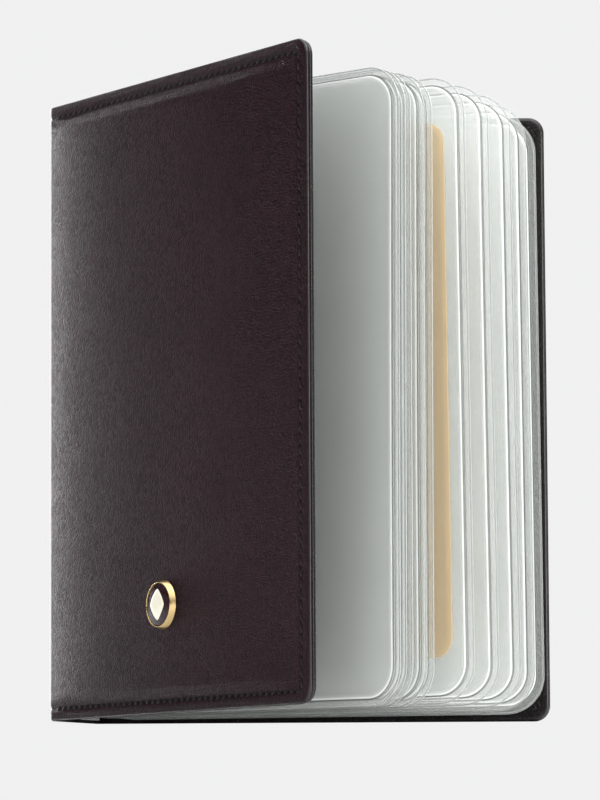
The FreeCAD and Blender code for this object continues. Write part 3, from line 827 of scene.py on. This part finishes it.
# Slope of each leaf, from the front cover's side: negative sags and positive rises.
LEANS = (-0.0064, -0.006, -0.0055, -0.005, -0.005, 0.010, 0.010, 0.010, 0.007, 0.006)
WAVE_HEIGHT, WAVE_LENGTH = 0.09 * MM, 0.13
WAVE_TURNS, WAVE_PHASE = 1.3, 0.9
LEAF_CORNER, LEAF_STEP = 6.4 * MM, 3.0 * MM
LEAF_ROOT = -0.4 * MM
CARD_LEAF = 6
CARD_LEVEL, CARD_CORNER = 0.18 * MM, 3.2 * MM


def leaf_flat(number):
    joint = joints[f"leaf_{number:02d}_turn"]
    angle = STRAIGHT_OUT - OPENING * shares[joint["name"]]
    return Flat(Vector(joint["pos_m"]), angle, -1, LEANS[number - 1])


def leaf_warp(number):
    """Slight waviness of a vinyl leaf, small enough to clear its neighbours."""
    phase = WAVE_PHASE * number

    def warp(s, z, k):
        share = s / LEAF_LENGTH
        turn = math.cos(2 * math.pi * z / WAVE_LENGTH + phase)
        wave = math.sin(math.pi * share * WAVE_TURNS + phase) * turn
        return WAVE_HEIGHT * wave * share
    return warp


FROSTED = (0.0, 0.0, 1.0)
# The second mark paints highlight into the film's colour: full beside the weld, less on the weld band and the cut
# edge.
ROLL_FOOT = (0.0, 0.25, 1.0)
ROLL_HIGHLIGHT = (0.0, 1.0, 1.0)
# The first mark paints shade lines into the film's colour, in the weld groove and along the cut edge.
WELD_GROOVE_SHADE = (1.0, 0.0, 0.3)
WELDED = (0.0, 0.12, 0.0)
WELD_END = (0.0, 0.6, 0.0)
CUT_EDGE_SHADE = (0.7, 0.0, 0.2)
EDGE_CORNER = (0.3, 0.3, 0.5)
EDGE_MIDDLE = (0.0, 0.5, 0.5)

# Section of a leaf from its pouch to its cut edge: inset, half thickness (mm) and mark.
LEAF_RIM = (
    (4.2, 0.33, FROSTED),
    (2.2, 0.34, FROSTED),
    (1.80, 0.35, ROLL_FOOT),
    (1.56, 0.35, ROLL_HIGHLIGHT),
    (1.46, 0.33, ROLL_HIGHLIGHT),
    (1.38, 0.27, WELD_GROOVE_SHADE),
    (1.22, 0.19, WELD_GROOVE_SHADE),
    (1.12, 0.18, WELDED),
    (0.40, 0.18, WELDED),
    (0.30, 0.18, WELD_END),
    (0.22, 0.18, CUT_EDGE_SHADE),
    (0.05, 0.12, CUT_EDGE_SHADE),
    (0.0, 0.04, EDGE_CORNER),
    (0.0, 0.0, EDGE_MIDDLE),
)


def make_leaf(number):
    place = leaf_flat(number)
    outline = Outline((LEAF_ROOT, LEAF_LOW), (LEAF_LENGTH, LEAF_HIGH), LEAF_CORNER, LEAF_STEP)
    half = [(inset * MM, level * MM, mark) for inset, level, mark in LEAF_RIM]
    whole = half + [(inset, -level, mark) for inset, level, mark in reversed(half[:-1])]
    piece = slab(f"leaf_{number:02d}", outline, [(i, l) for i, l, _ in whole], place, VINYL,
                 leaf_warp(number), [m for _, _, m in whole])
    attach(piece, f"leaf_{number:02d}")
    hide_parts(*(f"leaf_{number:02d}_{part}" for part in ("back_film", "front_film", "weld")))


def make_card():
    """The card inside its leaf."""
    outline = Outline((CARD_EDGE - CARD_WIDTH, CARD_LOW), (CARD_EDGE, CARD_HIGH), CARD_CORNER, LEAF_STEP)
    rim = round_rim(1.0 * MM, CARD_LEVEL, -CARD_LEVEL, 0.06 * MM, 4)
    piece = slab("card", outline, rim, leaf_flat(CARD_LEAF), CARD)
    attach(piece, "card")
    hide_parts("business_card")


# ---- emblem ----

def emblem_centre():
    """Middle of the emblem on the front cover's outer face."""
    low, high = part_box("emblem_backplate")
    middle = (low + high) / 2
    s = (middle - FRONT.start).dot(FRONT.along)
    full = leather_lift(s + SPINE_WIDTH / 2 + FOLD_ARC, middle.z, 0)
    return FRONT(s, middle.z, OUTER + full)


def arc_profile(radius, edge, top, steps):
    """(radius, height) points of a dome from its edge to its top."""
    rise = top - edge
    ball = (radius ** 2 + rise ** 2) / (2 * rise)
    reach = math.asin(radius / ball)
    return [(ball * math.sin(reach * (1 - k / steps)), top - ball + ball * math.cos(reach * (1 - k / steps)))
            for k in range(steps + 1)]


DOME_RADIUS = (DISC_HIGH - DISC_LOW) / 2
RING_TOP_RADIUS = DOME_RADIUS + 0.17 * MM
RING_RADIUS = (EMBLEM_HIGH - EMBLEM_LOW) / 2
DOME_EDGE, DOME_TOP = 0.82 * MM, 1.2 * MM
DOME_STEPS = 14
SEAT = 0.3 * MM
LOZENGE_ACROSS, LOZENGE_UP = 2.0 * MM, 2.5 * MM
LOZENGE_LIFT, LOZENGE_ROOT = 0.05 * MM, -0.12 * MM
LOZENGE_POWER = 1.3


def make_emblem():
    """Gilt bezel, dark dome and the plain ivory lozenge let into it."""
    centre, axis = emblem_centre(), FRONT.out
    foot = [(RING_RADIUS - 0.06 * MM, 0.0), (RING_RADIUS, 0.05 * MM), (RING_RADIUS - 0.02 * MM, 0.12 * MM)]
    lip = [(0.04, 0.82), (0.0, 0.88), (-0.03, 0.92), (-0.08, 0.94),
           (-0.12, 0.92), (-0.15, 0.87), (-0.16, 0.3)]
    wall = foot + [(RING_TOP_RADIUS + outward * MM, height * MM) for outward, height in lip]
    ring = lathe("emblem_ring", [(0.0, 0.0)] + wall + [(0.0, SEAT)], centre, axis, GILT)
    dome_curve = arc_profile(DOME_RADIUS, DOME_EDGE, DOME_TOP, DOME_STEPS)
    dome = lathe("emblem_dome", [(0.0, SEAT), (DOME_RADIUS, SEAT)] + dome_curve, centre, axis, ENAMEL)
    inlay = make_lozenge(centre, axis)
    for piece, node, slot in ((ring, "emblem_bezel", "gilt_metal"), (dome, "emblem_disc", "dark_enamel"),
                              (inlay, "emblem_inlay", "ivory_enamel")):
        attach(piece, "front_cover")
        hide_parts(node)


def make_lozenge(centre, axis):
    """A lozenge with rounded corners, following the dome and a hair above it."""
    steps, rings = 72, 8
    side = FRONT.along
    rise = DOME_TOP - DOME_EDGE
    ball = (DOME_RADIUS ** 2 + rise ** 2) / (2 * rise)
    points, faces = [], []

    def surface(x, z, extra):
        height = DOME_TOP - ball + math.sqrt(ball ** 2 - x * x - z * z) + extra
        return centre + side * x + Vector((0, 0, 1)) * z + axis * height

    def rim_point(angle, share):
        c, s = math.cos(angle), math.sin(angle)
        reach = (abs(c) ** LOZENGE_POWER + abs(s) ** LOZENGE_POWER) ** (-1 / LOZENGE_POWER)
        return LOZENGE_ACROSS * reach * c * share, LOZENGE_UP * reach * s * share

    points.append(surface(0, 0, LOZENGE_LIFT))
    for r in range(1, rings + 1):
        share = r / rings
        extra = LOZENGE_LIFT * math.sqrt(max(0.0, 1 - share ** 6))
        for i in range(steps):
            points.append(surface(*rim_point(2 * math.pi * i / steps, share), extra))
    for i in range(steps):
        points.append(surface(*rim_point(2 * math.pi * i / steps, 1.0), LOZENGE_ROOT))
    for i in range(steps):
        n = (i + 1) % steps
        faces.append((0, 1 + i, 1 + n))
        for r in range(rings):
            a, b = 1 + r * steps, 1 + (r + 1) * steps
            faces.append((a + i, b + i, b + n, a + n))
    last = 1 + rings * steps
    faces.append(tuple(last + i for i in reversed(range(steps))))
    piece = make_object("emblem_lozenge", points, faces, [IVORY])
    fix_normals(piece)
    return piece


# ---- CAD pieces that stay ----

def paint_cad_nodes():
    """Better materials for the CAD pieces that keep their own shape."""
    paint = {"front_board": BOARD, "back_board": BOARD, "spine_board": BOARD, "spine_lining": CAD_LEATHER,
             "insert_binding": INSERT_VINYL, "front_insert_tab": INSERT_VINYL,
             "back_insert_tab": INSERT_VINYL, "emblem_prongs": FIXING, "emblem_backplate": FIXING}
    for name, material in paint.items():
        node = frame["nodes"][name]
        for index in range(len(node.material_slots)):
            node.material_slots[index].material = material


# ---- floor, light and camera ----

def make_floor():
    """Pale floor that is clear from below, where the camera stands."""
    bpy.ops.mesh.primitive_plane_add(size=6.0, location=(0, 0, 0))
    floor = bpy.context.active_object
    floor.name = "floor"
    material, nodes, links, shader = new_material("pale_floor")
    vector = object_coordinates(nodes)
    grain = noise(nodes, links, vector, 8.0, 3.0)
    pale = ramp(nodes, links, grain.outputs["Fac"], [(0.2, 0.88), (0.8, 0.90)])
    links.new(pale, shader.inputs["Base Color"])
    set_sockets(shader, Roughness=0.9)
    clear = nodes.new("ShaderNodeBsdfTransparent")
    mix = nodes.new("ShaderNodeMixShader")
    back = nodes.new("ShaderNodeNewGeometry")
    links.new(back.outputs["Backfacing"], mix.inputs["Fac"])
    links.new(shader.outputs["BSDF"], mix.inputs[1])
    links.new(clear.outputs["BSDF"], mix.inputs[2])
    links.new(mix.outputs["Shader"], nodes["Material Output"].inputs["Surface"])
    floor.data.materials.append(material)
    floor.visible_shadow = False


SKY_TOWARD = Vector((0.15, -0.15, 0.95))
SKY_DARK, SKY_BRIGHT = 0.04, 3.8
SKY_FROM, SKY_FULL = 0.30, 0.98


def make_light(name, place, target, size, watts):
    data = bpy.data.lights.new(name, "AREA")
    data.shape = "RECTANGLE"
    data.size, data.size_y = size
    data.energy = watts
    lamp = bpy.data.objects.new(name, data)
    bpy.context.scene.collection.objects.link(lamp)
    lamp.location = place
    direction = Vector(target) - Vector(place)
    lamp.rotation_euler = direction.to_track_quat("-Z", "Y").to_euler()
    lamp.visible_camera = False


def make_world():
    """Pale background, and a soft sky that is bright above and to the right."""
    world = bpy.data.worlds.new("studio")
    bpy.context.scene.world = world
    world.use_nodes = True
    nodes, links = world.node_tree.nodes, world.node_tree.links
    shown = nodes["Background"]
    set_sockets(shown, Color=(0.875, 0.875, 0.88, 1), Strength=1.0)
    sky = nodes.new("ShaderNodeBackground")
    set_sockets(sky, Color=(0.97, 0.99, 1.0, 1))
    toward = nodes.new("ShaderNodeVectorMath")
    toward.operation = "DOT_PRODUCT"
    toward.inputs[1].default_value = SKY_TOWARD.normalized()
    links.new(nodes.new("ShaderNodeTexCoord").outputs["Generated"], toward.inputs[0])
    links.new(limited(nodes, links, toward.outputs["Value"], SKY_FROM, SKY_FULL, SKY_DARK, SKY_BRIGHT),
              sky.inputs["Strength"])
    path = nodes.new("ShaderNodeLightPath")
    mix = nodes.new("ShaderNodeMixShader")
    links.new(path.outputs["Is Camera Ray"], mix.inputs["Fac"])
    links.new(sky.outputs["Background"], mix.inputs[1])
    links.new(shown.outputs["Background"], mix.inputs[2])
    links.new(mix.outputs["Shader"], nodes["World Output"].inputs["Surface"])


LENS, SENSOR_WIDTH = 206.5, 36.0
CAMERA_PLACE = Vector((-0.15, -729.6, -29.6)) * MM
CAMERA_PITCH, CAMERA_ROLL = math.radians(6.234), math.radians(-0.32)


def make_camera():
    """Long lens a little below the case's foot, looking slightly up."""
    data = bpy.data.cameras.new("camera")
    data.lens = LENS
    data.sensor_width = SENSOR_WIDTH
    camera = bpy.data.objects.new("camera", data)
    bpy.context.scene.collection.objects.link(camera)
    tilt = Matrix.Rotation(math.pi / 2 + CAMERA_PITCH, 4, "X")
    turn = Matrix.Rotation(CAMERA_ROLL, 4, "Z")
    camera.matrix_world = Matrix.Translation(CAMERA_PLACE) @ tilt @ turn
    bpy.context.scene.camera = camera


HALF_WAY_UP = Vector((0, 0, HEIGHT / 2))
LEFT_PLACE = FRONT_FOLD + HALF_WAY_UP - FRONT.along * 0.52 - FRONT.out * 0.036

make_camera()
make_leather()
for cover in COVERS:
    make_inside(cover)
    make_stitching(cover)
for leaf in range(1, 11):
    make_leaf(leaf)
make_card()
make_emblem()
paint_cad_nodes()
make_floor()
make_world()
make_light("right_box", (0.60, -0.38, 0.06), (-0.02, -0.02, 0.03), (0.14, 0.4), 2.4)
make_light("window", (0.20, -1.11, 0.03), (-0.02, -0.02, 0.02), (0.2, 0.4), 0.42)
make_light("left_strip", LEFT_PLACE, FRONT_FOLD + HALF_WAY_UP, (0.09, 0.5), 6.5)
make_light("low_box", (0.04, -0.12, -0.03), (0.01, 0, 0.01), (0.2, 0.03), 0.09)
make_light("top_box", (0.06, -0.07, 0.17), (0.01, -0.01, 0.08), (0.08, 0.08), 0.10)
bpy.context.scene.cycles.transparent_max_bounces = 64
bpy.context.scene.view_settings.view_transform = "Standard"
